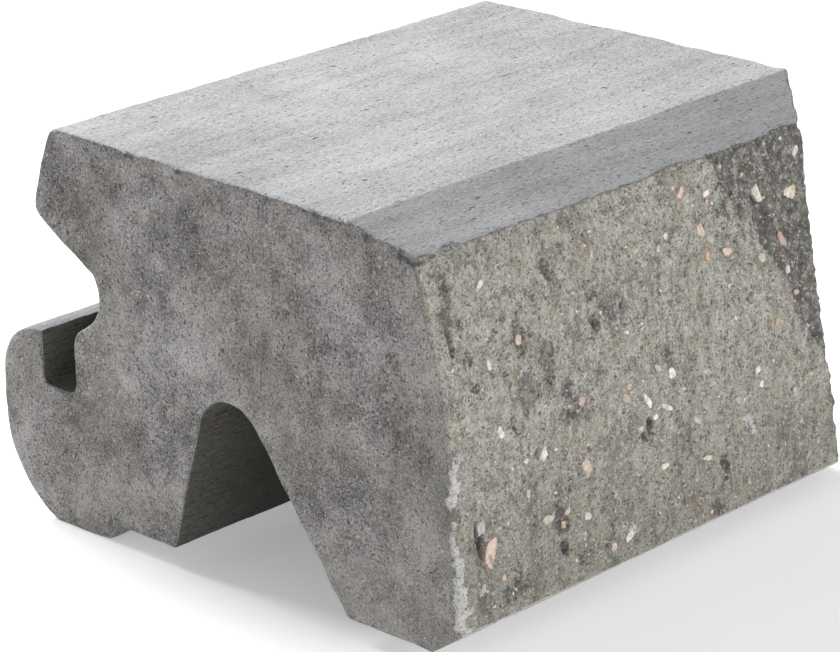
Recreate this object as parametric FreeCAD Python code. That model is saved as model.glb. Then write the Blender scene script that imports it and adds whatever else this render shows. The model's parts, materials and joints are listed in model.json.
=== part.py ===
import FreeCAD, Part
import math
import os
import random

from FreeCAD import Rotation, Vector

# A dry-cast concrete wall block.  One section runs the whole length of the block, because the
# block is stripped from its mould along that length.  The front is split off a twin block, so it
# shows the broken stones of the mix: each stone that shows is a solid of its own, held in a
# socket of its own shape in the concrete.
# Millimetres.  While the block is drawn, x runs along the wall from the square end, y runs back
# from the toe of the front foot, and z rises from the plane that both feet bear on.

# ---- the block over all
front_length = 315.0       # square end to skewed end, along the front edge of the top
rear_length = 305.0        # the same, along the rear edge of the top
course_height = 193.0      # bearing plane to top
heel_drop = 10.0           # the heel hangs this far below the bearing plane
top_front = 51.6           # toe of the foot to the front edge of the top
top_depth = 195.4          # front edge to rear edge of the top
front_foot = 52.6          # depth of the front foot's flat

# ---- the front: a bevel under the split face, the split face, a sloped strip above it
bevel_out = 18.7
bevel_height = 13.7
face_lean = 27.2           # the split face leans back by this much, bottom edge to top edge
face_bulge = 6.5           # the split face stands proud of its chord by this much
strip_drop = 8.3           # fall of the sloped strip, from the top down to the split face

# ---- the far front corner, broken off along one plane
break_top = 46.0           # length lost at the top of the split face
break_bottom = 39.0        # length lost at the bottom of the split face

# ---- the nose, below the rear edge of the top
nose_out = 14.5            # the nose stands out behind the rear edge of the top by this much
nose_height = 44.4         # top down to the nose's lower corner
nose_under_run = 43.0      # the sloped underside of the nose, along y
nose_under_drop = 23.9     # and its fall
top_rear_round = 4.0
nose_round = 9.0

# ---- the neck's round, the shelf below it and the slot in the hook
neck_in = 3.2              # the round goes in past the end of the nose's underside
shelf_start = 2.8          # the shelf starts this far back from that end
shelf_run = 13.1
shelf_drop = 8.6
slot_floor = 60.0          # height of the slot's floor over the bearing plane
slot_width = 23.3
slot_front_wall = 31.5
slot_rear_wall = 27.0
slot_round = 3.0

# ---- the hook behind the slot, and the heel below it
hook_wall = 30.5           # slot to the outside of the hook
hook_round = 26.0
hook_side_foot = 38.0      # height where the hook's side turns into the heel's round
hook_side_in = 2.4         # the side has drawn in by this much there
heel_round_out = 11.0      # first half of the heel's round, along y
heel_round_drop = 29.5     # and its fall
heel_round_run = 35.8      # the whole of the heel's round, along y
heel_flat = 36.5
heel_front_slope = 5.1     # the heel's front face slopes back to the pad by this much
rear_pad = 41.7            # depth of the rear leg's flat

# ---- the arch between the legs
arch_rear_lean = 19.7      # its rear wall leans forward by this much
arch_rear_height = 73.0
crown_back = 18.0          # top of the rear wall to the crown's middle, along y
crown_rise = 12.0
crown_front = 19.5         # crown's middle to the top of the front wall, along y
crown_fall = 10.0

# ---- stones in the split face
stone_proud = 0.7          # a stone stands out of the face by this much
stone_sunk = 0.55          # depth in the concrete, as a share of the stone's length
stone_corners = 7
shelter = 0.35             # share of the sunk depth where a stone is widest

# A stone is: its place along the face and up the face, each as a share so that it stays on the
# face, then its length and width, and the turn of its length from level, in degrees.
stones = {
    "white_quartz_stones": [
        (0.101, 0.498, 7.0, 4.0, 110),
        (0.190, 0.390, 8.2, 5.6, 30),
        (0.416, 0.424, 9.0, 4.2, 115),
        (0.476, 0.468, 6.2, 5.0, 140),
        (0.606, 0.901, 5.4, 3.2, 15),
        (0.673, 0.381, 4.8, 3.8, 20),
        (0.679, 0.335, 4.4, 3.4, 60),
        (0.096, 0.682, 6.4, 3.0, 95),
        (0.434, 0.368, 3.8, 3.0, 0),
        (0.505, 0.836, 3.8, 3.2, 40),
        (0.830, 0.929, 6.8, 3.8, 40),
        (0.777, 0.612, 4.6, 3.4, 80),
        (0.367, 0.064, 6.4, 4.8, 35),
        (0.397, 0.353, 3.2, 2.8, 0),
    ],
    "pink_granite_stones": [
        (0.275, 0.492, 6.0, 5.6, 60),
        (0.373, 0.450, 7.4, 4.8, 150),
        (0.578, 0.814, 9.0, 5.0, 105),
        (0.632, 0.735, 7.2, 4.6, 10),
        (0.278, 0.313, 9.4, 6.4, 115),
        (0.162, 0.715, 5.8, 5.0, 60),
        (0.552, 0.930, 7.0, 4.0, 40),
        (0.625, 0.316, 5.4, 4.4, 120),
        (0.770, 0.700, 10.0, 5.6, 125),
        (0.788, 0.547, 4.2, 3.6, 0),
        (0.330, 0.059, 5.4, 4.8, 30),
        (0.231, 0.216, 4.0, 3.4, 70),
        (0.044, 0.110, 5.2, 4.0, 90),
    ],
    "orange_sandstone_stones": [
        (0.604, 0.877, 4.8, 3.0, 60),
        (0.586, 0.742, 5.2, 4.6, 120),
        (0.729, 0.491, 4.6, 3.4, 70),
        (0.378, 0.482, 4.0, 3.4, 90),
        (0.340, 0.861, 3.8, 2.8, 50),
        (0.089, 0.115, 3.6, 3.0, 0),
        (0.219, 0.183, 4.8, 3.0, 100),
        (0.695, 0.917, 4.6, 2.4, 30),
        (0.800, 0.303, 3.6, 2.8, 0),
    ],
    "cream_limestone_stones": [
        (0.462, 0.382, 9.6, 3.2, 155),
        (0.190, 0.215, 8.4, 4.6, 10),
        (0.272, 0.174, 5.0, 4.8, 0),
        (0.549, 0.190, 8.4, 3.0, 155),
        (0.525, 0.310, 7.0, 3.2, 140),
        (0.714, 0.674, 7.2, 5.0, 130),
        (0.724, 0.852, 11.0, 5.0, 115),
        (0.448, 0.219, 6.0, 4.2, 20),
        (0.443, 0.500, 5.6, 2.8, 140),
        (0.149, 0.310, 4.6, 3.0, 80),
        (0.149, 0.397, 4.0, 3.4, 10),
        (0.483, 0.812, 4.8, 4.0, 60),
        (0.760, 0.273, 4.8, 3.0, 90),
        (0.103, 0.888, 8.0, 3.2, 40),
    ],
    "blue_slate_stones": [
        (0.676, 0.580, 6.8, 4.8, 50),
        (0.167, 0.614, 5.0, 4.4, 70),
        (0.391, 0.700, 5.2, 3.8, 60),
        (0.245, 0.790, 5.6, 4.6, 0),
    ],
    "large_pink_stone": [(0.063, 0.197, 14.5, 8.6, 75)],
    "corner_quartzite_stone": [(0.049, 0.275, 9.0, 6.6, 100)],
    "large_ochre_stone": [(0.803, 0.822, 12.6, 9.4, 160)],
}


def rounded(points, radii):
    """Straight edges through the points, with an arc of each radius at each point between."""
    edges = []
    start = points[0]
    for before, corner, after, radius in zip(points, points[1:], points[2:], radii):
        back = (before - corner).normalize()
        ahead = (after - corner).normalize()
        half_turn = 0.5 * back.getAngle(ahead)
        tangent = radius / math.tan(half_turn)
        middle = (back + ahead).normalize() * (radius / math.sin(half_turn) - radius)
        arc_start = corner + back * tangent
        arc_end = corner + ahead * tangent
        edges.append(Part.makeLine(start, arc_start))
        edges.append(Part.Arc(arc_start, corner + middle, arc_end).toShape())
        start = arc_end
    edges.append(Part.makeLine(start, points[-1]))
    return edges


def split_face():
    """The line of the split face in the section: an arc from the bevel up to the strip."""
    bottom = Vector(0, -bevel_out, bevel_height)
    top = Vector(0, face_lean - bevel_out, course_height - strip_drop)
    chord = top - bottom
    outward = Vector(0, -chord.z, chord.y).normalize()
    return Part.Arc(bottom, (bottom + top) * 0.5 + outward * face_bulge, top)


def section():
    """The section once round: front, top, nose, neck, slot, hook, heel, arch, foot."""
    toe = Vector(0, 0, 0)
    face = split_face()
    top_start = Vector(0, top_front, course_height)
    top_end = Vector(0, top_front + top_depth, course_height)
    nose = top_end + Vector(0, nose_out, -nose_height)
    under_end = nose + Vector(0, -nose_under_run, -nose_under_drop)
    slot_front_top = Vector(0, under_end.y + shelf_start + shelf_run, slot_floor + slot_front_wall)
    shelf_end = slot_front_top + Vector(0, -shelf_run, shelf_drop)
    neck = (under_end + shelf_end) * 0.5
    neck.y = under_end.y - neck_in
    slot_front_foot = slot_front_top - Vector(0, 0, slot_front_wall)
    slot_rear_foot = slot_front_foot + Vector(0, slot_width, 0)
    slot_rear_top = slot_rear_foot + Vector(0, 0, slot_rear_wall)
    hook_corner = slot_rear_top + Vector(0, hook_wall, 0)
    heel_start = Vector(0, hook_corner.y - hook_side_in, hook_side_foot)
    heel_middle = heel_start - Vector(0, heel_round_out, heel_round_drop)
    heel_rear = Vector(0, heel_start.y - heel_round_run, -heel_drop)
    heel_front = heel_rear - Vector(0, heel_flat, 0)
    pad_rear = Vector(0, heel_front.y - heel_front_slope, 0)
    pad_front = pad_rear - Vector(0, rear_pad, 0)
    arch_rear = pad_front + Vector(0, -arch_rear_lean, arch_rear_height)
    crown = arch_rear + Vector(0, -crown_back, crown_rise)
    arch_front = crown - Vector(0, crown_front, crown_fall)
    foot_rear = Vector(0, front_foot, 0)

    edges = [Part.makeLine(toe, face.StartPoint), face.toShape()]
    edges.append(Part.makeLine(face.EndPoint, top_start))
    edges += rounded([top_start, top_end, nose, under_end], [top_rear_round, nose_round])
    edges.append(Part.Arc(under_end, neck, shelf_end).toShape())
    slot_line = [shelf_end, slot_front_top, slot_front_foot, slot_rear_foot, slot_rear_top]
    edges += rounded(slot_line, [slot_round] * 3)
    edges += rounded([slot_rear_top, hook_corner, heel_start], [hook_round])
    edges.append(Part.Arc(heel_start, heel_middle, heel_rear).toShape())
    edges += rounded([heel_rear, heel_front], [])
    edges += rounded([heel_front, pad_rear], [])
    edges += rounded([pad_rear, pad_front], [])
    edges += rounded([pad_front, arch_rear], [])
    edges.append(Part.Arc(arch_rear, crown, arch_front).toShape())
    edges += rounded([arch_front, foot_rear], [])
    edges += rounded([foot_rear, toe], [])
    return Part.Wire(edges)


def beyond(corner, along, up, size):
    """A thick slab that has one face on the plane through three points, on its far x side."""
    u = (along - corner).normalize()
    normal = u.cross(up - corner).normalize()
    if normal.x < 0:
        normal = normal * -1
    v = normal.cross(u)
    middle = (corner + along + up) * (1 / 3)
    signs = [(-1, -1), (1, -1), (1, 1), (-1, 1)]
    square = [middle + u * (a * size) + v * (b * size) for a, b in signs]
    return Part.Face(Part.makePolygon(square + square[:1])).extrude(normal * size)


def concrete():
    """The casting: the section along the block, less the far end's skew and broken corner."""
    size = front_length + top_depth
    block = Part.Face(section()).extrude(Vector(size, 0, 0))
    front_edge = Vector(front_length, top_front, course_height)
    rear_edge = Vector(rear_length, top_front + top_depth, course_height)
    below = front_edge - Vector(0, 0, course_height)
    block = block.cut(beyond(front_edge, rear_edge, below, size))
    face = split_face()
    face_top = face.EndPoint + Vector(front_length - break_top, 0, 0)
    face_bottom = face.StartPoint + Vector(front_length - break_bottom, 0, 0)
    return block.cut(beyond(front_edge, face_top, face_bottom, size))


def crushed_stone(length, width, seed):
    """A chip of crushed rock about the origin, z out of the face: three rings of corners."""
    chance = random.Random(seed)
    turns = [(k + chance.uniform(-0.25, 0.25)) * 2 * math.pi / stone_corners
             for k in range(stone_corners)]
    reach = [chance.uniform(0.86, 1.0) for _ in turns]
    sunk = stone_sunk * length
    rings = []
    for height, share in [(-sunk, 0.45), (-shelter * sunk, 1.0), (stone_proud, 0.72)]:
        ring = [Vector(0.5 * share * length * r * math.cos(t),
                       0.5 * share * width * r * math.sin(t), height)
                for t, r in zip(turns, reach)]
        rings.append(ring)
    faces = [Part.Face(Part.makePolygon(ring + ring[:1])) for ring in (rings[0], rings[-1])]
    for low, high in zip(rings, rings[1:]):
        for k in range(stone_corners):
            n = (k + 1) % stone_corners
            faces.append(Part.Face(Part.makePolygon([low[k], low[n], high[n], high[k], low[k]])))
    stone = Part.Solid(Part.Shell(faces))
    if stone.Volume < 0:
        stone.reverse()
    return stone


def seated(stone, along, up, turn):
    """The stone, moved to its place on the split face and turned in the face."""
    face = split_face()
    spot = face.FirstParameter + up * (face.LastParameter - face.FirstParameter)
    rise = face.tangent(spot)[0]
    if rise.z < 0:
        rise = rise * -1
    outward = Vector(1, 0, 0).cross(rise)
    frame = Rotation(Vector(1, 0, 0), rise, outward, "ZXY")
    place = face.value(spot) + Vector(along * front_length, 0, 0)
    moved = stone.copy()
    moved.Placement = FreeCAD.Placement(place, frame * Rotation(Vector(0, 0, 1), turn))
    return moved


def main():
    nodes = {}
    seed = 0
    for name, rows in stones.items():
        solids = []
        for along, up, length, width, turn in rows:
            seed += 1
            solids.append(seated(crushed_stone(length, width, seed), along, up, turn))
        nodes[name] = Part.makeCompound(solids)
    nodes["block_body"] = concrete().cut(Part.makeCompound(list(nodes.values())))

    box = Part.makeCompound(list(nodes.values())).optimalBoundingBox(False, False)
    origin = Vector(box.Center.x, box.Center.y, box.ZMin)
    os.makedirs("parts", exist_ok=True)
    for name, shape in nodes.items():
        shape.translate(origin * -1)
        shape.exportStep("parts/" + name + ".step")
        print(name, len(shape.Solids), "solids, valid", shape.isValid(), round(shape.Volume))
    print("row frame's origin, in the drawing's coordinates:", origin)
    print("box:", box.XLength, box.YLength, box.ZLength)


main()
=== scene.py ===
import json
import math

import bpy
import numpy as np
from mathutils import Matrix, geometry


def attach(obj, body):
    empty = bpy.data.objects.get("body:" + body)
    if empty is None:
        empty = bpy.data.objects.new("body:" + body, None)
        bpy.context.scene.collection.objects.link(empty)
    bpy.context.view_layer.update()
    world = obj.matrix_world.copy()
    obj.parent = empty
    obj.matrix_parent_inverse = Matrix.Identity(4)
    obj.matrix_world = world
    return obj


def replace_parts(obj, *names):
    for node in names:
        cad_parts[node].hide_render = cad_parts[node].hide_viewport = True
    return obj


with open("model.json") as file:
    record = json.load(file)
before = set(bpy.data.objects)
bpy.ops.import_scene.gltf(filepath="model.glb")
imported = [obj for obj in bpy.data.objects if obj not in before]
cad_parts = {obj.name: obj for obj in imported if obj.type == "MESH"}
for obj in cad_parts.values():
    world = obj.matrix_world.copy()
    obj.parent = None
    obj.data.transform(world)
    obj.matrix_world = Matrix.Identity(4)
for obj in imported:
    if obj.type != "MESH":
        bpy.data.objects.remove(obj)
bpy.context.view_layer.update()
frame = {"nodes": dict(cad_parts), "record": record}
mm = 0.001

# ---- Camera
# A long lens, well back from the block, on its front left and a little above it.
camera_data = bpy.data.cameras.new("camera")
camera_data.lens = 158.7
camera_data.clip_end = 20
camera = bpy.data.objects.new("camera", camera_data)
camera.location = (-1.2573, -1.1515, 0.7336)
camera.rotation_euler = (math.radians(90 - 20.74), 0, math.radians(-47.0))
bpy.context.scene.collection.objects.link(camera)
bpy.context.scene.camera = camera

# ---- The concrete block
# One casting of cement paste, sand and crushed stone, pressed in a mould and stripped along its
# length, so its skin is drawn into fine lines that way. The front is split off a twin block, and
# its far corner has come away with it.


def cad_mesh(name):
    """The CAD node's points, and the corner indices of its triangles, as two arrays."""
    data = frame["nodes"][name].data
    points = np.empty(len(data.vertices) * 3)
    data.vertices.foreach_get("co", points)
    loops = np.empty(len(data.loops), dtype=int)
    data.loops.foreach_get("vertex_index", loops)
    return points.reshape(-1, 3), loops.reshape(-1, 3)


def end_outline(points, triangles, x_end):
    """The section's outline in order: the once-used edges of the triangles in the end's plane."""
    grain = 0.01 * mm
    keys, same = np.unique(np.round(points / grain), axis=0, return_inverse=True)
    triangles = same.reshape(-1)[triangles]
    flat = np.abs(keys[:, 0] * grain - x_end) < 2 * grain
    triangles = triangles[flat[triangles].all(axis=1)]
    edges = np.concatenate([triangles[:, [0, 1]], triangles[:, [1, 2]], triangles[:, [2, 0]]])
    used = {tuple(edge) for edge in edges.tolist()}
    ahead = {a: b for a, b in used if (b, a) not in used}
    order = [next(iter(ahead))]
    while ahead[order[-1]] != order[0]:
        order.append(ahead[order[-1]])
    return keys[order][:, 1:] * grain


cad_points, cad_triangles = cad_mesh("block_body")
x_square = cad_points[:, 0].min()
z_top = cad_points[:, 2].max()
z_bearing = 10 * mm
outline = end_outline(cad_points, cad_triangles, x_square)
on_bearing = np.abs(outline[:, 1] - z_bearing) < 0.05 * mm
toe = int(np.argmin(np.where(on_bearing, outline[:, 0], np.inf)))
outline = np.roll(outline, -toe, axis=0)
if outline[1, 1] < outline[-1, 1]:
    outline = np.roll(outline[::-1], 1, axis=0)
on_bearing = np.abs(outline[:, 1] - z_bearing) < 0.05 * mm
# from here the outline runs: toe, bevel, split face, strip, top, nose, slot, hook, heel, arch
ridge = int(np.argmax(outline[:, 1] > z_top - 0.05 * mm))
face_bottom, face_top, top_front = outline[1], outline[ridge - 1], outline[ridge]
top_rear = outline[ridge + 1]


def far_x(place):
    """How far the CAD block reaches along x at one corner of its section."""
    near = np.hypot(cad_points[:, 1] - place[0], cad_points[:, 2] - place[1]) < 0.1 * mm
    return cad_points[near, 0].max()


skew = (far_x(top_rear) - far_x(top_front)) / (top_rear[0] - top_front[0])
break_places = np.array([top_front, face_top, face_bottom])
break_plane = np.linalg.solve(np.column_stack([np.ones(3), break_places]),
                              [far_x(place) for place in break_places])


def skewed_end(y):
    """x of the far end: a plane that leans a little away from square."""
    return far_x(top_front) + skew * (y - top_front[0])


def broken_corner(y, z):
    """x of the broken far corner: one plane through the ridge and the split face's two edges."""
    return break_plane[0] + break_plane[1] * y + break_plane[2] * z


large_primes = np.array([73856093, 19349663, 83492791])
table_size = 65536


def lumps(points, size, seed):
    """Smooth random lumps of one size, from -1 to 1: a random height at each corner of a grid of
    cubes, looked up in a table by the corner's number and eased from corner to corner."""
    heights = np.random.default_rng(seed).uniform(-1, 1, table_size)
    scaled = points / size
    cell = np.floor(scaled).astype(np.int64)
    part = scaled - cell
    part = part * part * (3 - 2 * part)
    total = np.zeros(len(points))
    for corner in np.ndindex(2, 2, 2):
        number = np.bitwise_xor.reduce((cell + corner) * large_primes, axis=1)
        weight = np.prod(np.where(corner, part, 1 - part), axis=1)
        total += weight * heights[number % table_size]
    return total


def ramp(value, low, high):
    """0 below low, 1 above high, and eased between them."""
    part = np.clip((value - low) / (high - low), 0, 1)
    return part * part * (3 - 2 * part)


def from_far_line(x, z):
    """Distance past the slanting line where the darker, deeper break at the far end begins."""
    top_x, foot_x = x_square + 196 * mm, x_square + 270 * mm
    top_z, foot_z = face_top[1], face_bottom[1] + 50 * mm
    along = np.array([foot_x - top_x, foot_z - top_z])
    along /= np.linalg.norm(along)
    return -(x - top_x) * along[1] + (z - top_z) * along[0]


# small deep holes in the split face: place along the block, height over the bearing plane, half
# width and half height, in millimetres
crevices = [(14.5, 52, 2.2, 13), (9, 146, 1.8, 6), (42, 100, 1.2, 4.6), (133, 74, 2.0, 4.5),
            (128, 70, 1.6, 3.0), (186, 40, 3.0, 4.2), (77, 160, 2.4, 3.0), (70, 34, 2.6, 3.6),
            (102, 131, 2.2, 3.4), (181, 20, 2.4, 3.0), (60, 112, 1.4, 3.8)]


def in_ellipses(x, z, ellipses, lean=0.18):
    """How deep a point of the split face lies in the nearest of some leaning ellipses: 1 at an
    ellipse's middle, 0 at its rim, and less outside."""
    rows = np.array(ellipses) * mm
    up = z[:, None] - z_bearing - rows[:, 1]
    across = x[:, None] - x_square - rows[:, 0] + lean * up
    return 1 - np.hypot(across / rows[:, 2], up / rows[:, 3]).min(axis=1)


def split_relief(x, y, z, fine_share=1.0):
    """How far the split surface stands out of its smooth shape: lumps of five sizes, two of them
    sharpened to creases, small pits, a step down at the far break, and the crevices. The finest
    lumps and the pits can be made lower, for a grid too wide to hold them."""
    places = np.stack([x, y, z], axis=1)
    relief = 1.5 * mm * lumps(places, 70 * mm, 1)
    relief += 1.2 * mm * (0.5 - np.abs(lumps(places, 24 * mm, 2)))
    relief += 0.75 * mm * lumps(places, 11 * mm, 3)
    relief += 0.8 * mm * (0.4 - np.abs(lumps(places, 5.5 * mm, 4)))
    relief += fine_share * 0.75 * mm * lumps(places, 2.7 * mm, 5)
    relief -= fine_share * 1.5 * mm * ramp(lumps(places, 3.6 * mm, 8), 0.42, 0.8)
    ragged = 5 * mm * lumps(places, 16 * mm, 6) + 2 * mm * lumps(places, 5 * mm, 7)
    past = from_far_line(x, z) + ragged
    # the step is deep low down and fades out towards the top edge
    relief -= 2.4 * mm * ramp(past, -1 * mm, 3 * mm) * ramp(-z, -face_top[1], -150 * mm)
    return relief - 3.6 * mm * ramp(in_ellipses(x, z, crevices), -0.25, 0.6)


def steps(length, pace):
    """Places along a stretch: even steps, with two short ones next to each end."""
    near = np.array([0, 0.9, 2.3]) * mm
    if length < 5 * near[-1]:
        count = max(1, round(length / pace))
        return length * np.arange(count) / count
    count = max(1, round((length - 2 * near[-1]) / pace))
    middle = np.linspace(near[-1], length - near[-1], count + 1)
    return np.concatenate([near[:-1], middle, length - near[-2:0:-1]])


sharp_turn = math.radians(14)
split_pace, strip_pace, top_pace, other_pace = 1.1 * mm, 1.5 * mm, 2.5 * mm, 4.2 * mm
slack = 0.1 * mm


def stretch_samples(outline):
    """The outline sampled afresh: sharp corners kept, and between them steps that are short on
    the split face and longer elsewhere."""
    closed = np.vstack([outline, outline[:1]])
    step = np.diff(closed, axis=0)
    length = np.hypot(step[:, 0], step[:, 1])
    travel = np.concatenate([[0], np.cumsum(length)])
    heading = np.arctan2(step[:, 1], step[:, 0])
    turn = np.abs((heading - np.roll(heading, 1) + np.pi) % (2 * np.pi) - np.pi)
    corners = np.flatnonzero(turn > sharp_turn)
    corners = np.union1d(corners, [1, ridge - 1, ridge])
    stops = np.append(travel[corners], travel[-1])
    samples = []
    for start, end in zip(stops, stops[1:]):
        pace = other_pace
        if start >= travel[1] - slack and end <= travel[ridge - 1] + slack:
            pace = split_pace
        elif end <= travel[ridge] + slack:
            pace = strip_pace
        elif end <= travel[ridge + 1] + slack:
            pace = top_pace
        samples.append(start + steps(end - start, pace))
    samples = np.concatenate(samples)
    places = np.stack([np.interp(samples, travel, closed[:, k]) for k in (0, 1)], axis=1)
    return samples, places, travel


run_length, ring, travel = stretch_samples(outline)
bottom_edge, top_edge, ridge_edge = travel[1], travel[ridge - 1], travel[ridge]
# the way outwards turns gradually at a corner, over this distance each way
corner_reach = 3 * mm
closed = np.vstack([outline, outline[:1]])
ahead = (run_length + corner_reach) % travel[-1]
behind = (run_length - corner_reach) % travel[-1]
tangent = np.stack([np.interp(ahead, travel, closed[:, k]) - np.interp(behind, travel, closed[:, k])
                    for k in (0, 1)], axis=1)
tangent /= np.linalg.norm(tangent, axis=1, keepdims=True)
outward = np.stack([-tangent[:, 1], tangent[:, 0]], axis=1)
on_split = (run_length > bottom_edge + 0.2 * mm) & (run_length < top_edge - 0.2 * mm)

# columns of the grid along the block: close together at the arrises, even between them
arris = np.array([0, 0.35, 0.8, 1.4, 2.2, 3.2, 4.5, 6.2]) * mm
middle_columns = 218
middle_part = np.arange(1, middle_columns) / middle_columns
x_end = np.minimum(skewed_end(ring[:, 0]), broken_corner(ring[:, 0], ring[:, 1]))
inner = (x_end - x_square - 2 * arris[-1])[:, None] * middle_part
near_x = np.broadcast_to(x_square + arris, (len(ring), len(arris)))
far_side = x_end[:, None] - arris[::-1]
x = np.concatenate([near_x, x_square + arris[-1] + inner, far_side], axis=1)
count, columns = x.shape
y = np.repeat(ring[:, :1], columns, axis=1)
z = np.repeat(ring[:, 1:], columns, axis=1)
places = np.stack([x, y, z], axis=2).reshape(-1, 3)
# each point's distance from the square end, and from the nearer of the two ends
span = places[:, 0] - x_square
from_end = np.minimum(x - x_square, x_end[:, None] - x).reshape(-1)
near_square = span < from_end + mm

# the skin moves in or out along the section's normal: drawn lines, the split's relief, arrises
travelled = np.repeat(run_length, columns)
run = np.stack([places[:, 0] * 0.05, travelled, travelled * 0], axis=1)
skin = 0.10 * mm * lumps(run, 1.6 * mm, 11) + 0.45 * mm * lumps(places, 24 * mm, 12)
skin += 0.2 * mm * lumps(places, 6 * mm, 13)
pitted = np.stack([places[:, 0] * 0.4, travelled, travelled * 0], axis=1)
skin -= 0.7 * mm * ramp(lumps(pitted, 2.2 * mm, 19), 0.62, 0.9)
split = np.repeat(on_split, columns)
fade = ramp(np.minimum(travelled - bottom_edge, 2 * mm + top_edge - travelled), 0, 4 * mm)
moved = np.where(split, fade * split_relief(*places.T), skin)

# the split's top edge is bitten: the corner is cut off to a depth that varies along the block
along_edge = np.stack([span, span * 0, span * 0], axis=1)
bite = 0.5 * mm + 1.9 * mm * ramp(lumps(along_edge, 15 * mm, 17), 0.2, 0.9)
bite += 1.2 * mm * np.clip(lumps(along_edge, 3.2 * mm, 18), 0, 1)
bite += 3.4 * mm * ramp(lumps(along_edge, 8 * mm, 20), -0.1, 0.5) * ramp(-span, -46 * mm, -18 * mm)
bitten = bite - np.abs(travelled - top_edge)
bite_share = 0.62        # how far in a bite reaches, as a share of its width on each side
moved -= bite_share * np.maximum(bitten, 0)

# every arris is a little worn, more where it is nibbled or crushed
crush = ramp(-places[:, 2], -122 * mm, -40 * mm)
worn = 0.5 * mm + 1.7 * mm * np.clip(lumps(places, 3.6 * mm, 14), 0, 1)
worn += 2.2 * mm * ramp(lumps(places, 8 * mm, 15), 0.2, 0.9)
crumbly = (places[:, 2] > face_top[1] - 3 * mm) & (places[:, 1] < top_rear[0])
nearer_ridge = ramp(-places[:, 1], -top_front[0] - 70 * mm, -top_front[0] - 5 * mm)
crumbled = 3.0 * mm * ramp(lumps(places, 5 * mm, 16), -0.1, 0.8)
crumbled += 3.0 * mm * ramp(lumps(places, 9 * mm, 23), -0.3, 0.6) * nearer_ridge
worn += np.where(crumbly, crumbled, 0)
chipped = 1.2 * mm + 2.0 * mm * np.clip(lumps(places, 6 * mm, 24), 0, 1)
worn += np.where(split & near_square, 2.6 * mm * crush + chipped, 0)
inside = np.clip(1 - from_end / worn, 0, 1)
roundness = 0.96         # 1 would be a full quarter circle
moved -= worn * (1 - np.sqrt(1 - roundness * inside ** 2))
places[:, 1:] += np.repeat(outward, columns, axis=0) * moved[:, None]
grid = places.reshape(count, columns, 3)
# the long edges lose their sharpness, away from the split face
blur = 0.5 * grid + 0.25 * (np.roll(grid, 1, axis=0) + np.roll(grid, -1, axis=0))
soft = np.where(on_split, 0.0, 0.8)[:, None, None]
grid = grid + soft * (blur - grid)
places = grid.reshape(-1, 3)


row_rise = 0.87          # the height of a row of points, as a share of their spacing
scatter = 0.28           # how far a point strays, as a share of the spacing
clear_of_ring = 0.55     # how near the ring a point may be, as a share of the spacing


def end_cap(ring_places, spacing, seed):
    """Points and triangles that fill an end: a jittered grid of points inside the ring, joined
    with it by a constrained triangulation. The ring's points come first and keep their order."""
    rng = np.random.default_rng(seed)
    low, high = ring_places.min(axis=0), ring_places.max(axis=0)
    across, rise = np.meshgrid(np.arange(low[0], high[0], spacing),
                               np.arange(low[1], high[1], spacing * row_rise))
    across[1::2] += spacing / 2
    inner = np.stack([across.reshape(-1), rise.reshape(-1)], axis=1)
    inner += rng.uniform(-scatter, scatter, inner.shape) * spacing
    after = np.roll(ring_places, -1, axis=0)
    above = (ring_places[:, 1] > inner[:, 1:]) != (after[:, 1] > inner[:, 1:])
    slope = (after[:, 0] - ring_places[:, 0]) / (after[:, 1] - ring_places[:, 1] + 1e-12)
    cross = ring_places[:, 0] + (inner[:, 1:] - ring_places[:, 1]) * slope
    within = (above & (inner[:, :1] < cross)).sum(axis=1) % 2 == 1
    inner = inner[within]
    away = np.hypot(*(inner[:, None, :] - ring_places[None]).transpose(2, 0, 1)).min(axis=1)
    inner = inner[away > clear_of_ring * spacing]
    every = np.concatenate([ring_places, inner])
    count = len(ring_places)
    edges = [(k, (k + 1) % count) for k in range(count)]
    made = geometry.delaunay_2d_cdt((every / mm).tolist(), edges, [], 1, 1e-5)
    order = np.array([source[0] for source in made[3]])
    triangles = order[np.array(made[2])]
    return every, triangles


indices = np.arange(count * columns).reshape(count, columns)
following = np.roll(indices, -1, axis=0)
fine_row = (run_length > bottom_edge - slack) & (run_length < ridge_edge + slack)
next_fine = np.roll(fine_row, -1)


def quads_between(low, high):
    """Four-sided faces between two sets of rows, one face for each pair of columns."""
    faces = np.stack([low[:, :-1], low[:, 1:], high[:, 1:], high[:, :-1]], axis=2)
    return faces.reshape(-1, 4)


# the split face and the strip use every column, the rest of the block every second one, and
# five-sided faces join them
both = fine_row & next_fine
neither = ~fine_row & ~next_fine
rising, falling = ~fine_row & next_fine, fine_row & ~next_fine
quads = np.concatenate([quads_between(indices[both], following[both]),
                        quads_between(indices[neither][:, ::2], following[neither][:, ::2])])
low, high = indices[rising], following[rising]
up_fives = np.stack([low[:, :-2:2], low[:, 2::2], high[:, 2::2], high[:, 1::2], high[:, :-2:2]],
                    axis=2).reshape(-1, 5)
low, high = indices[falling], following[falling]
down_fives = np.stack([low[:, :-2:2], low[:, 1::2], low[:, 2::2], high[:, 2::2], high[:, :-2:2]],
                      axis=2).reshape(-1, 5)
near_ring, far_ring = grid[:, 0, 1:], grid[:, -1, 1:]
near_cap, near_triangles = end_cap(near_ring, 2.5 * mm, 21)
far_cap, far_triangles = end_cap(far_ring, 2.6 * mm, 22)


def from_ring(cap, ring_places):
    """Each cap point's distance to the nearest point of its ring."""
    gaps = cap[:, None, :] - ring_places[None]
    return np.hypot(gaps[..., 0], gaps[..., 1]).min(axis=1)


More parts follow.
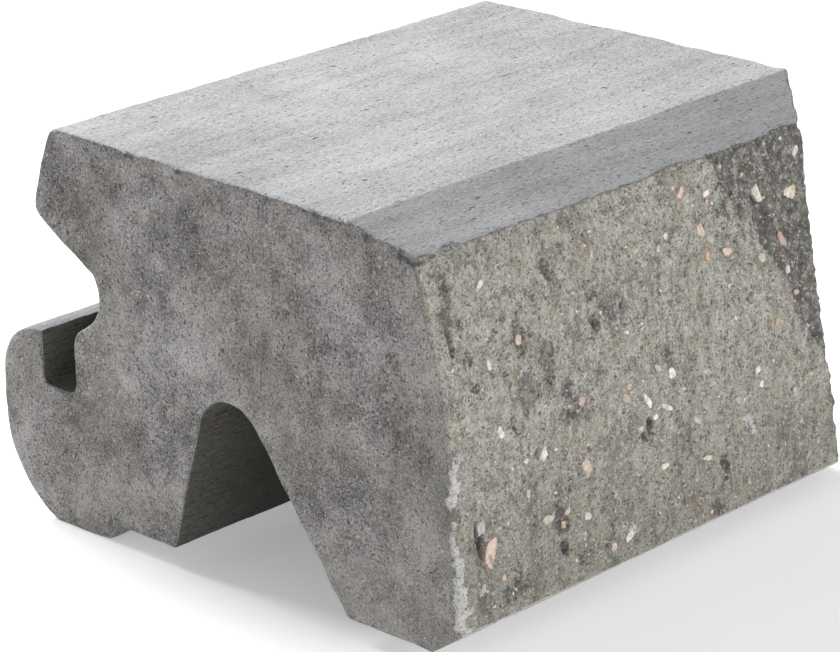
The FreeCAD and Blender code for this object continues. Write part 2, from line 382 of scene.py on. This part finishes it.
cap_places = np.column_stack([np.full(len(near_cap), x_square), near_cap])
swell = 0.5 * mm * lumps(cap_places, 34 * mm, 31) + 0.25 * mm * lumps(cap_places, 6 * mm, 32)
swell -= 1.5 * mm * ramp(lumps(cap_places, 5 * mm, 33), 0.55, 0.9)
near_fade = ramp(from_ring(near_cap, near_ring), 0, 3 * mm)
cap_places[:, 0] -= near_fade * np.minimum(swell, 0.4 * mm)
near_inner = cap_places[count:]

skew_x = skewed_end(far_cap[:, 0])
break_x = broken_corner(far_cap[:, 0], far_cap[:, 1])
cap_places = np.column_stack([np.minimum(skew_x, break_x), far_cap])
cracked = ramp(skew_x - break_x, -1 * mm, 3 * mm)
rough = cracked * (split_relief(*cap_places.T, fine_share=0.2) - 1.0 * mm)
swell = 0.5 * mm * lumps(cap_places, 25 * mm, 34) - 0.5 * mm
far_fade = ramp(from_ring(far_cap, far_ring), 0, 5 * mm)
cap_places[:, 0] += far_fade * np.where(cracked > 0, rough, swell)
far_inner = cap_places[count:]
cracked = cracked[count:]

first_near = len(places)
first_far = first_near + len(near_inner)
near_index = np.concatenate([indices[:, 0], first_near + np.arange(len(near_inner))])
far_index = np.concatenate([indices[:, -1], first_far + np.arange(len(far_inner))])
triangles = np.concatenate([near_index[near_triangles][:, ::-1], far_index[far_triangles]])
points = np.concatenate([places, near_inner, far_inner])


def add_mesh(name, points, polygons):
    """A mesh object from arrays: points, and one or more arrays of polygons' corners."""
    data = bpy.data.meshes.new(name)
    sizes = np.concatenate([np.full(len(block), block.shape[1]) for block in polygons])
    corners = np.concatenate([block.reshape(-1) for block in polygons])
    data.vertices.add(len(points))
    data.vertices.foreach_set("co", points.reshape(-1))
    data.loops.add(len(corners))
    data.loops.foreach_set("vertex_index", corners)
    data.polygons.add(len(sizes))
    data.polygons.foreach_set("loop_start", np.concatenate([[0], np.cumsum(sizes)[:-1]]))
    data.update(calc_edges=True)
    data.validate()
    data.polygons.foreach_set("use_smooth", np.ones(len(data.polygons), dtype=bool))
    piece = bpy.data.objects.new(name, data)
    bpy.context.scene.collection.objects.link(piece)
    return piece


def add_mask(piece, name, values):
    """One number for each point of a piece, for its material to read."""
    layer = piece.data.attributes.new(name, "FLOAT", "POINT")
    layer.data.foreach_set("value", np.asarray(values, dtype=np.float32))


# points that no face uses, the odd columns away from the split face, are left out
faces = [quads, up_fives, down_fives, triangles]
used = np.unique(np.concatenate([some.reshape(-1) for some in faces]))
renumber = np.zeros(len(points), dtype=int)
renumber[used] = np.arange(len(used))
block = add_mesh("concrete_block", points[used], [renumber[some] for some in faces])


def on_caps(grid_values, near_values, far_values):
    """One value per kept point, from the grid's values and those of the two ends' inner points."""
    near_values = np.broadcast_to(near_values, len(near_inner))
    far_values = np.broadcast_to(far_values, len(far_inner))
    return np.concatenate([grid_values, near_values, far_values])[used]


# zones of the surface, for the material: the split and its darker far break, the ends, crushed
# paste, stains and painted shade in the crevices and nibbled edge, the bevel, the sides, which
# are the strip, the rear and the underside and get painted shade, and the walls of the arch and
# of the slot, which get dark painted shade
bitten_off = ramp(bitten, 0.2 * mm, 1.0 * mm) * (travelled > top_edge - 0.3 * mm)
bitten_off *= travelled < ridge_edge
split_all = on_caps(np.maximum(split * 1.0, bitten_off), 0, cracked)
end_all = on_caps((from_end < 0.7 * mm) * 1.0, 1, 1 - cracked)
x, y, z = points[used].T
span = x - x_square
height = z - z_bearing
kept = points[used]
ragged = 6 * mm * lumps(kept, 16 * mm, 6) + 3 * mm * lumps(kept, 5 * mm, 7)
past = from_far_line(x, z) + ragged
far_break = split_all * ramp(past, -2 * mm, 3 * mm)
crushed_width = 1.4 * mm + ramp(-height, -34 * mm, -4 * mm) * 7 * mm
crushed_width += 3.4 * mm * lumps(kept, 9 * mm, 41) + 3.4 * mm * lumps(kept, 3.2 * mm, 42)
dust = ramp(crushed_width - span, -0.9 * mm, 0.9 * mm) * ramp(-height, -108 * mm, -84 * mm)
white_patches = [(203, 56, 9, 5), (208, 50, 2.5, 4), (118, 27, 6, 6), (4, 96, 3, 4)]
patchy = 0.35 * lumps(kept, 4 * mm, 43)
dust = np.maximum(dust, 0.8 * ramp(in_ellipses(x, z, white_patches) + patchy, 0.0, 0.6))
stains = [(15, 150, 6, 38), (52, 139, 5, 12), (66, 122, 9, 22), (78, 104, 8, 15),
          (106, 134, 10, 15), (69, 45, 6, 13), (80, 28, 9, 9), (186, 38, 6, 8), (181, 20, 5, 6),
          (77, 161, 5, 6), (36, 24, 9, 8), (150, 100, 7, 9), (203, 165, 9, 22)]
stain = split_all * ramp(in_ellipses(x, z, stains) + 0.9 * lumps(kept, 7 * mm, 44), -0.1, 1.0)
# painted shade in the crevices
crevice_shade = split_all * ramp(in_ellipses(x, z, crevices), -0.3, 0.3)
add_mask(block, "split", split_all)
add_mask(block, "end", end_all)
add_mask(block, "far_break", far_break)
add_mask(block, "dust", split_all * dust)
# painted shade in the bites of the crumbly top edge
nibble_shade = crumbly * ramp(worn - 0.7 * from_end, 1.8 * mm, 3.4 * mm) * (from_end < worn)
# one mask of dark stains and of painted shade in the crevices and bites
add_mask(block, "stain", np.maximum(np.maximum(stain * 0.8, crevice_shade), on_caps(nibble_shade * 0.9, 0, 0)))
round_run = on_caps(travelled, near_inner[:, 1:].sum(axis=1), far_inner[:, 1:].sum(axis=1))
add_mask(block, "round_section", round_run)
add_mask(block, "bevel", on_caps((travelled < bottom_edge) * 1.0, 0, 0))
# the sides, for their painted shade: the strip, the faces behind the top and the underside
strip_rows = (travelled > top_edge - slack) & (travelled < ridge_edge - slack)
behind_top = ramp(travelled - travel[ridge + 1], 2 * mm, 14 * mm)
add_mask(block, "sides", on_caps(np.maximum(strip_rows, behind_top), 0, 0))
# the walls of the arch and of the slot, for their painted shade
feet = travel[np.flatnonzero(on_bearing)]
arch_rows = (run_length > feet[-2] - slack) & (run_length < feet[-1] + slack)
openings = {box["name"]: np.array(box["box_m"]) for box in frame["record"]["physics"]["openings"]}
slot_low, slot_high = openings["bar_slot"]
slot_rows = np.abs(ring[:, 0] - (slot_low[1] + slot_high[1]) / 2) < 12.5 * mm
slot_rows &= (ring[:, 1] > slot_low[2] - 3 * mm) & (ring[:, 1] < openings["recess_over_lip"][1, 2])
inner_rows = np.repeat((arch_rows | slot_rows) * 1.0, columns)
add_mask(block, "inner", on_caps(inner_rows * ramp(from_end, 0, 1.6 * mm), 0, 0))


class Shade:
    """One value in a material's nodes. Arithmetic on it adds Math nodes, and node() adds any
    other node, with its settings first and then the values or links of its sockets."""

    def __init__(self, tree, socket=None):
        self.tree = tree
        self.socket = socket

    def node(self, kind, settings, inputs, output=0):
        made = self.tree.nodes.new(kind)
        for key, value in settings.items():
            if key == "stops":
                ramp_stops = made.color_ramp.elements
                while len(ramp_stops) < len(value):
                    ramp_stops.new(0.5)
                for stop, (place, colour) in zip(ramp_stops, value):
                    stop.position = place
                    stop.color = (*colour, 1)
            else:
                setattr(made, key, value)
        for key, value in inputs.items():
            if isinstance(value, Shade):
                self.tree.links.new(value.socket, made.inputs[key])
            else:
                made.inputs[key].default_value = value
        return Shade(self.tree, made.outputs[output])

    def math(self, operation, first, second=0.0):
        return self.node("ShaderNodeMath", {"operation": operation}, {0: first, 1: second})

    def __add__(self, other):
        return self.math("ADD", self, other)

    def __sub__(self, other):
        return self.math("SUBTRACT", self, other)

    def __rsub__(self, other):
        return self.math("SUBTRACT", other, self)

    def __mul__(self, other):
        return self.math("MULTIPLY", self, other)

    __radd__ = __add__
    __rmul__ = __mul__

    def ease(self, low, high, to_low=0.0, to_high=1.0):
        """Eased from to_low at low to to_high at high, and level outside them."""
        settings = {"interpolation_type": "SMOOTHSTEP"}
        inputs = {"Value": self, "From Min": low, "From Max": high,
                  "To Min": to_low, "To Max": to_high}
        return self.node("ShaderNodeMapRange", settings, inputs)

    def blend(self, first, second):
        """Between two colours, by this value."""
        settings = {"data_type": "RGBA"}
        keys = {0: self, 6: first, 7: second}
        keys = {k: (*v, 1) if isinstance(v, tuple) else v for k, v in keys.items()}
        return self.node("ShaderNodeMix", settings, keys, 2)

    def noise(self, where, scale, detail=2.0, roughness=0.5):
        inputs = {"Vector": where, "Scale": scale, "Detail": detail, "Roughness": roughness}
        return self.node("ShaderNodeTexNoise", {}, inputs)

    def random_cells(self, where, scale):
        """One random number for each cell of a grain-like division."""
        inputs = {"Vector": where, "Scale": scale}
        grains = self.node("ShaderNodeTexVoronoi", {"feature": "F1"}, inputs, "Color")
        return self.node("ShaderNodeSeparateColor", {}, {"Color": grains})

    def lerp(self, first, second):
        """Between two values, by this value."""
        return first + self * (second - first)

    def mask(self, name):
        return self.node("ShaderNodeAttribute", {"attribute_name": name}, {}, "Fac")


def new_material(name):
    """An empty material, as (material, Shade to build with, its Principled shader)."""
    material = bpy.data.materials.new(name)
    material.use_nodes = True
    tree = material.node_tree
    shader = next(n for n in tree.nodes if n.type == "BSDF_PRINCIPLED")
    return material, Shade(tree), shader


concrete, shade, shader = new_material("dry_cast_concrete")
where = shade.node("ShaderNodeTexCoord", {}, {}, "Object")
round_section = shade.mask("round_section")
along, across, upwards = (shade.node("ShaderNodeSeparateXYZ", {}, {"Vector": where}, axis)
                          for axis in "XYZ")
drawn = shade.node("ShaderNodeCombineXYZ", {}, {"X": along * 0.09, "Y": round_section})

# the zones' edges are ragged at the size of the sand
sand = shade.noise(where, 700, 4, 0.75)
crumbs = shade.noise(where, 380, 4, 0.8)


def zone(name, raggedness=1.2):
    """A mask of the block with a crisp, ragged edge."""
    return (shade.mask(name) + (crumbs - 0.5) * raggedness).ease(0.38, 0.62)


# the moulded skin: pale, sandy, with short lines and small dark pits drawn along the block. Its
# sides get painted shade, darker than its top and more so towards the far end, and the arch and
# the slot get dark painted shade, with painted light that makes them palest at the near mouth
stretched = shade.node("ShaderNodeCombineXYZ", {}, {"X": along * 0.42, "Y": round_section})
lines = shade.noise(drawn, 900, 3, 0.6)
bands = shade.noise(drawn, 110, 3, 0.6)
scratches = shade.noise(stretched, 800, 4, 0.75)
cloud = shade.noise(where, 16, 4, 0.6)
fine = shade.noise(where, 1250, 3, 0.85)
pits = shade.noise(stretched, 640, 3, 0.7).ease(0.59, 0.67)
large_pits = shade.noise(stretched, 300, 3, 0.7).ease(0.65, 0.70)
skin_tone = lines * 0.15 + bands * 0.3 + scratches * 0.6 + fine * 0.75 + sand * 0.3 + cloud * 0.35
skin_colour = skin_tone.ease(0.90, 1.55).blend((0.225, 0.23, 0.24), (0.68, 0.685, 0.695))
skin_colour = (pits * 0.5).blend(skin_colour, (0.13, 0.13, 0.13))
skin_colour = (large_pits * 0.85).blend(skin_colour, (0.07, 0.07, 0.07))
white_grains = shade.random_cells(where, 800).ease(0.985, 0.99)
skin_colour = (white_grains * 0.4).blend(skin_colour, (0.74, 0.74, 0.73))
skin_colour = (zone("bevel", 0.5) * 0.75).blend(skin_colour, (0.40, 0.365, 0.315))
# painted shade: the sides (strip, rear and underside) darker than the top, more so towards the far
# end
sides = (shade.mask("sides") + (bands - 0.5) * 0.3).ease(0.0, 1.0)
sides = sides * along.ease(-0.15, 0.15, 0.36, 0.50)
skin_colour = sides.blend(skin_colour, (0.115, 0.118, 0.125))
# painted shade on the walls of the arch and of the slot, lighter towards the near mouth by painted
# light
light_at_near_mouth = along.ease(-0.09, -0.158)
recess_shade_tone = light_at_near_mouth.blend((0.058, 0.054, 0.045), (0.175, 0.163, 0.140))
painted_recess_shade = (lines * 0.5 + scratches * 0.5).ease(0.28, 0.72).blend((0.036, 0.033, 0.027), recess_shade_tone)
skin_colour = (zone("inner", 0.6) * 0.93).blend(skin_colour, painted_recess_shade)

# the pressed ends: darker, sandy, a little purple here and olive there, in clouds, with pores
# and scuffs, and paler at the front foot
end_cloud = shade.noise(where, 24, 4, 0.6)
mottle = shade.noise(where, 75, 4, 0.75)
end_tone = end_cloud * 0.6 + mottle * 0.55 + sand * 0.8 + fine * 1.1
end_colour = end_tone.ease(1.18, 1.90).blend((0.050, 0.046, 0.047), (0.60, 0.58, 0.57))
olive = shade.noise(where, 9, 2, 0.5).ease(0.42, 0.6)
end_colour = (olive * 0.25).blend(end_colour, (0.23, 0.225, 0.17))
pores = shade.noise(where, 560, 3, 0.7).ease(0.60, 0.68)
end_colour = (pores * 0.8).blend(end_colour, (0.055, 0.052, 0.05))
deep_pores = shade.noise(where, 150, 4, 0.75).ease(0.66, 0.70)
end_colour = (deep_pores * 0.75).blend(end_colour, (0.05, 0.047, 0.045))
scuffs = shade.noise(where, 120, 5, 0.85).ease(0.60, 0.70)
end_colour = (scuffs * 0.5).blend(end_colour, (0.50, 0.48, 0.46))
paler_foot = upwards.ease(0.070, 0.015) * across.ease(0.0, -0.07) * crumbs.ease(0.35, 0.6, 0.4, 1)
end_colour = (paler_foot * 0.4).blend(end_colour, (0.52, 0.50, 0.46))
light_grains = shade.random_cells(where, 850).ease(0.985, 0.99)
end_colour = (light_grains * 0.6).blend(end_colour, (0.60, 0.57, 0.53))
pink_grains = shade.random_cells(where, 330).ease(0.994, 0.995)
end_colour = (pink_grains * 0.5).blend(end_colour, (0.50, 0.40, 0.34))

# the split front: olive grey paste full of coarse sand, with darker stains and a darker far
# break, brown towards its foot, and white where the near edge was crushed
upright = shade.node("ShaderNodeMapping", {}, {"Vector": where, "Scale": (1.0, 1.0, 0.55)})
patches = shade.noise(upright, 42, 5, 0.8).ease(0.50, 0.64)
coarse = shade.noise(where, 560, 5, 0.9)
speckle = shade.noise(where, 1250, 3, 0.85)
middle = shade.noise(upright, 190, 4, 0.8)
split_tone = coarse * 0.9 + speckle * 0.95 + middle * 0.7
split_colour = split_tone.ease(0.92, 1.62).blend((0.070, 0.067, 0.057), (0.84, 0.81, 0.73))
split_colour = (patches * 0.58).blend(split_colour, (0.11, 0.107, 0.097))
# darker and browner towards the foot
darker_foot = upwards.ease(0.11, 0.03) * middle.ease(0.35, 0.6, 0.5, 1)
split_colour = (darker_foot * 0.32).blend(split_colour, (0.15, 0.13, 0.085))
warm = shade.noise(where, 60, 3, 0.6).ease(0.5, 0.7)
split_colour = (warm * 0.28).blend(split_colour, (0.42, 0.34, 0.21))
dark_sand = shade.random_cells(where, 980).ease(0.94, 0.95)
split_colour = (dark_sand * 0.6).blend(split_colour, (0.05, 0.048, 0.044))
broken_up = shade.noise(where, 260, 4, 0.8).ease(0.38, 0.58, 0.35, 1)
far_break = zone("far_break", 1.5) * broken_up
split_colour = (far_break * 0.80).blend(split_colour, (0.075, 0.072, 0.070))
pale_sand = shade.random_cells(where, 900).ease(0.93, 0.94)
split_colour = (pale_sand * 0.6).blend(split_colour, (0.68, 0.66, 0.61))
powder = (coarse * 0.6 + speckle * 0.4).ease(0.42, 0.54, 0.3, 1)
dust = (shade.mask("dust") + (crumbs - 0.5) * 2.4 + (speckle - 0.5) * 1.2).ease(0.3, 0.8)
split_colour = (dust * powder * 0.95).blend(split_colour, (0.88, 0.87, 0.85))

end_mask = zone("end", 0.5)
split_mask = zone("split")
colour = end_mask.blend(skin_colour, end_colour)
colour = split_mask.blend(colour, split_colour)
# dark stains, and painted shade in the crevices and in the bites of the crumbly edge
stain = (shade.mask("stain") + (crumbs - 0.5) * 3.0).ease(0.34, 0.72)
colour = (stain * broken_up * 0.78).blend(colour, (0.058, 0.058, 0.056))
skin_height = lines * 0.15 + scratches * 0.35 + fine * 0.45 - pits * 0.7 - large_pits * 1.4
end_height = sand * 1.0 + fine * 1.0 + mottle * 1.4 - pores * 0.9 - deep_pores * 1.8
split_height = coarse * 2.0 + speckle * 1.0 + middle * 2.2 + dust * 0.6
height = end_mask.lerp(skin_height, end_height)
height = split_mask.lerp(height, split_height)
bump = shade.node("ShaderNodeBump", {}, {"Height": height, "Strength": 1.0, "Distance": 0.9 * mm},
                  "Normal")
tree = concrete.node_tree
tree.links.new(colour.socket, shader.inputs["Base Color"])
tree.links.new(bump.socket, shader.inputs["Normal"])
shader.inputs["Roughness"].default_value = 0.92
shader.inputs["Specular IOR Level"].default_value = 0.3
block.data.materials.append(concrete)
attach(block, "root")
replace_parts(block, "block_body")

# ---- Stones in the split face
# Crushed quartz, granite, sandstone, limestone and slate that the split laid bare. Each is a
# faceted chip held in the paste for about half its depth, and stands a little out of it.


def loose_parts(name):
    """The points of each separate solid in a CAD node, as a list of arrays."""
    points, triangles = cad_mesh(name)
    keys, same = np.unique(np.round(points / (0.01 * mm)), axis=0, return_inverse=True)
    triangles = same.reshape(-1)[triangles]
    part = np.arange(len(keys))
    for _ in range(40):
        lowest = part[triangles].min(axis=1)
        np.minimum.at(part, triangles.reshape(-1), np.repeat(lowest, 3))
    return [keys[part == label] * 0.01 * mm for label in np.unique(part)]


# a crushed stone's flat cuts, as shares of its half size
box_depth = (0.68, 0.90)  # how far out the four cuts round it lie, least and most
corner_depth = 0.16      # how much further out the other cuts lie
front_depth = 0.5        # how far out its broken face lies
furthest = 1.25          # how far out any corner may be
unsquare = 0.3           # how far the four cuts turn away from a box's, in quarter turns


def chips(centres, axes, half, seed, rows, around):
    """Crushed stones, all at once. Each is an ellipsoid's grid of directions, reaching only as far
    as the nearest of its flat cuts: four that stand round it like a box, three that knock off its
    corners, three at random, and the broken face that looks out of the concrete."""
    rng = np.random.default_rng(seed)
    total = len(centres)
    polar = np.linspace(0, np.pi, rows)[1:-1]
    turn = np.arange(around) * 2 * np.pi / around
    ways = np.stack([np.outer(np.sin(polar), np.cos(turn)), np.outer(np.sin(polar), np.sin(turn)),
                     np.outer(np.cos(polar), np.ones(around))], axis=2).reshape(-1, 3)
    ways = np.concatenate([ways, [[0, 0, 1], [0, 0, -1]]])
    angle = (np.arange(4) + rng.uniform(-unsquare, unsquare, (total, 4))) * np.pi / 2
    angle = np.concatenate([angle, rng.uniform(0, 2 * np.pi, (total, 3))], axis=1)
    standing = np.stack([np.cos(angle), np.sin(angle), rng.uniform(-0.2, 0.3, (total, 7))], axis=2)
    front = np.concatenate([rng.uniform(-0.2, 0.2, (total, 1, 2)), np.ones((total, 1, 1))], axis=2)
    cuts = np.concatenate([standing, rng.normal(size=(total, 3, 3)), front], axis=1)
    cuts /= np.linalg.norm(cuts, axis=2, keepdims=True)
    depth = rng.uniform(*box_depth, cuts.shape[:2])
    depth[:, 4:] += corner_depth
    depth[:, -1] = front_depth
    facing = np.maximum(np.einsum("pk,nck->npc", ways, cuts), 0.02)
    reach = np.minimum((depth[:, None] / facing).min(axis=2), furthest)
    local = ways * reach[:, :, None] * half[:, None]
    points = centres[:, None] + np.einsum("npk,nkj->npj", local, axes)
    index = np.arange((rows - 2) * around).reshape(rows - 2, around)
    right = np.roll(index, -1, axis=1)
    quads = np.stack([index[:-1], index[1:], right[1:], right[:-1]], axis=2).reshape(-1, 4)
    top, foot = len(ways) - 2, len(ways) - 1
    caps = np.concatenate([
        np.stack([np.full(around, top), index[0], right[0]], axis=1),
        np.stack([np.full(around, foot), right[-1], index[-1]], axis=1)])
    start = np.arange(total)[:, None, None] * len(ways)
    return points.reshape(-1, 3), (start + quads).reshape(-1, 4), (start + caps).reshape(-1, 3)


proud = 0.35 * mm        # the broken face stands out of the concrete by this much
swell_share = 0.56       # half sizes, as a share of the CAD stone's, a little over a half
depth_share = 0.8        # half depth, as a share of half the width
level_percentile = 78    # the concrete's level round a stone: most of it is lower
split_places = grid[on_split].reshape(-1, 3)


def seat(part):
    """Where a stone sits: its middle, its long, short and outward directions, and its half sizes.
    Its broken face lies just proud of the higher parts of the split surface round it."""
    middle = 0.5 * (part.min(axis=0) + part.max(axis=0))
    row = np.argmin(np.hypot(*(ring - middle[1:]).T) + np.where(on_split, 0, 1))
    lean = np.array([0, *outward[row]])
    flat = part - middle
    flat = flat - np.outer(flat @ lean, lean)
    long_way = np.linalg.svd(flat, full_matrices=False)[2][0]
    short_way = np.cross(lean, long_way)
    half = swell_share * np.array([np.ptp(flat @ long_way), np.ptp(flat @ short_way), 0])
    half[2] = depth_share * half[1]
    base = np.array([middle[0], *ring[row]])
    round_it = np.linalg.norm(split_places - base, axis=1) < half[1] + 1.5 * mm
    level = np.percentile((split_places[round_it] - base) @ lean, level_percentile)
    centre = base + lean * (level + proud - front_depth * half[2])
    return centre, np.stack([long_way, short_way, lean]), half


def finish_stones(name, made, tints, material):
    """A piece of one or more stones, flat-faced, with one random tint for each stone."""
    points, quads, caps = made
    piece = add_mesh(name, points, [quads, caps])
    piece.data.polygons.foreach_set("use_smooth", np.zeros(len(piece.data.polygons), dtype=bool))
    add_mask(piece, "tint", np.repeat(tints, len(points) // len(tints)))
    piece.data.materials.append(material)
    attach(piece, "root")
    return piece


def stone_material(name, dark, light, fleck, fleck_share):
    """Broken rock: a tint of its own for each stone, mottled, with flecks of another mineral."""
    material, shade, shader = new_material(name)
    where = shade.node("ShaderNodeTexCoord", {}, {}, "Object")
    mottle = shade.noise(where, 260, 4, 0.65)
    tone = mottle * 0.75 + shade.mask("tint") * 0.35
    colour = tone.ease(0.3, 0.8).blend(dark, light)
    flecks = shade.random_cells(where, 1100).ease(1 - fleck_share, 1.02 - fleck_share)
    colour = (flecks * 0.8).blend(colour, fleck)
    paste = shade.noise(where, 330, 4, 0.75).ease(0.46, 0.56)
    colour = (paste * 0.55).blend(colour, (0.30, 0.285, 0.25))
    grain = shade.noise(where, 900, 3, 0.6)
    bump = shade.node("ShaderNodeBump", {}, {"Height": grain + mottle, "Strength": 0.7,
                                             "Distance": 0.4 * mm}, "Normal")
    tree = material.node_tree
    tree.links.new(colour.socket, shader.inputs["Base Color"])
    tree.links.new(bump.socket, shader.inputs["Normal"])
    rough = mottle.ease(0.3, 0.7, 0.55, 0.8)
    tree.links.new(rough.socket, shader.inputs["Roughness"])
    return material


white_quartz = stone_material("white_quartz", (0.44, 0.43, 0.41), (0.74, 0.73, 0.71),
                              (0.45, 0.43, 0.40), 0.06)
pink_granite = stone_material("pink_granite", (0.38, 0.27, 0.22), (0.64, 0.49, 0.41),
                              (0.25, 0.20, 0.18), 0.10)
orange_sandstone = stone_material("orange_sandstone", (0.38, 0.24, 0.15), (0.62, 0.43, 0.29),
                                  (0.70, 0.60, 0.45), 0.12)
cream_limestone = stone_material("cream_limestone", (0.42, 0.39, 0.32), (0.68, 0.64, 0.54),
                                 (0.36, 0.32, 0.25), 0.08)
blue_slate = stone_material("blue_slate", (0.07, 0.08, 0.095), (0.17, 0.19, 0.21),
                            (0.30, 0.31, 0.32), 0.06)
grey_quartzite = stone_material("grey_quartzite", (0.36, 0.355, 0.35), (0.62, 0.61, 0.60),
                                (0.22, 0.22, 0.22), 0.08)
ochre_rock = stone_material("ochre_rock", (0.42, 0.33, 0.20), (0.72, 0.66, 0.54),
                            (0.34, 0.20, 0.09), 0.16)
stone_groups = [
    ("white_quartz_stones", "quartz_chips", white_quartz, "white_quartz"),
    ("pink_granite_stones", "granite_chips", pink_granite, "pink_granite"),
    ("orange_sandstone_stones", "sandstone_chips", orange_sandstone, "orange_sandstone"),
    ("cream_limestone_stones", "limestone_chips", cream_limestone, "cream_limestone"),
    ("blue_slate_stones", "slate_chips", blue_slate, "blue_slate"),
    ("large_pink_stone", "large_granite_chip", pink_granite, "pink_granite"),
    ("corner_quartzite_stone", "corner_chip", grey_quartzite, "grey_quartzite"),
    ("large_ochre_stone", "large_ochre_chip", ochre_rock, "orange_sandstone"),
]
for seed, (name, new_name, material, slot) in enumerate(stone_groups, start=61):
    centres, axes, half = map(np.array, zip(*(seat(part) for part in loose_parts(name))))
    made = chips(centres, axes, half, seed, rows=13, around=22)
    tints = np.random.default_rng(seed).uniform(size=len(centres))
    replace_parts(finish_stones(new_name, made, tints, material), name)

# ---- Grit in the split face
# The same rocks as the stones, crushed to 1 to 4 mm, all over the split face. Each grain is a
# faceted chip that is held in the paste.
grit_count = 900
least, added, largest = 0.5 * mm, 0.38 * mm, 2.0 * mm    # half lengths, added on average
grit_proud = 0.2 * mm
rng = np.random.default_rng(81)
rows = rng.choice(np.flatnonzero(on_split)[2:-2], grit_count)
places = grid[rows, rng.integers(8, columns - 8, grit_count)]
lean = np.column_stack([np.zeros(grit_count), outward[rows]])
turn = rng.uniform(0, np.pi, (grit_count, 1))
level_way = np.array([1.0, 0, 0])
long_way = np.cos(turn) * level_way + np.sin(turn) * np.cross(lean, level_way)
axes = np.stack([long_way, np.cross(lean, long_way), lean], axis=1)
length = np.minimum(least + added * rng.exponential(1.0, grit_count), largest)
slimness = rng.uniform(0.5, 0.9, (grit_count, 2))
half = length[:, None] * np.column_stack([np.ones(grit_count), slimness])
centres = places + lean * (grit_proud - front_depth * half[:, 2:])
made = chips(centres, axes, half, 82, rows=5, around=7)

mixed_rock, shade, shader = new_material("mixed_rock")
tint = shade.mask("tint")
where = shade.node("ShaderNodeTexCoord", {}, {}, "Object")
rocks = [(0.0, (0.66, 0.65, 0.62)), (0.12, (0.60, 0.59, 0.56)), (0.14, (0.44, 0.42, 0.36)),
         (0.40, (0.50, 0.47, 0.41)), (0.42, (0.62, 0.47, 0.40)), (0.56, (0.58, 0.42, 0.35)),
         (0.58, (0.52, 0.32, 0.20)), (0.66, (0.46, 0.30, 0.19)), (0.68, (0.27, 0.27, 0.26)),
         (0.84, (0.20, 0.20, 0.20)), (0.86, (0.05, 0.05, 0.05)), (1.0, (0.07, 0.07, 0.075))]
colour = shade.node("ShaderNodeValToRGB", {"stops": rocks}, {0: tint})
mottle = shade.noise(where, 900, 3, 0.7)
colour = mottle.ease(0.35, 0.75, 0.0, 0.4).blend(colour, (0.30, 0.29, 0.26))
bump = shade.node("ShaderNodeBump", {}, {"Height": mottle, "Strength": 0.6, "Distance": 0.3 * mm},
                  "Normal")
tree = mixed_rock.node_tree
tree.links.new(colour.socket, shader.inputs["Base Color"])
tree.links.new(bump.socket, shader.inputs["Normal"])
shader.inputs["Roughness"].default_value = 0.75
finish_stones("grit", made, rng.uniform(size=grit_count), mixed_rock)

# ---- Studio
# A pale plain floor, even light all round, a broad light high behind the block, and weaker ones
# in front of it and on its left.
reach = 4.0
corners = reach * np.array([[-1, -1, 0], [1, -1, 0], [1, 1, 0], [-1, 1, 0]])
floor = add_mesh("floor", corners, [np.array([[0, 1, 2, 3]])])
floor_material, _, floor_shader = new_material("pale_floor")
floor_shader.inputs["Base Color"].default_value = (0.92, 0.92, 0.92, 1)
floor_shader.inputs["Roughness"].default_value = 1.0
floor_shader.inputs["Emission Color"].default_value = (1.0, 1.0, 1.0, 1)
floor_shader.inputs["Emission Strength"].default_value = 0.28
floor.data.materials.append(floor_material)

world = bpy.data.worlds.new("studio")
bpy.context.scene.world = world
world.use_nodes = True
background = next(n for n in world.node_tree.nodes if n.type == "BACKGROUND")
background.inputs["Color"].default_value = (1.0, 1.0, 1.0, 1)
background.inputs["Strength"].default_value = 0.38


def add_light(name, place, target, width, height, power):
    """A broad flat light at place, facing target."""
    data = bpy.data.lights.new(name, "AREA")
    data.shape = "RECTANGLE"
    data.size, data.size_y, data.energy = width, height, power
    light = bpy.data.objects.new(name, data)
    away = np.array(place) - np.array(target)
    heading = math.atan2(away[0], -away[1])
    tilt = math.atan2(math.hypot(away[0], away[1]), away[2])
    light.location = place
    light.rotation_euler = (tilt, 0, heading)
    bpy.context.scene.collection.objects.link(light)


add_light("back_light", (0.4, 2.3, 1.75), (0, 0, 0.15), 2.2, 0.8, 125)
add_light("front_light", (0.3, -2.7, 0.75), (0, 0, 0.1), 1.4, 1.4, 49)
add_light("side_light", (-2.6, 0.2, 0.5), (0, 0, 0.1), 1.4, 1.0, 8)
bpy.context.scene.view_settings.view_transform = "Standard"
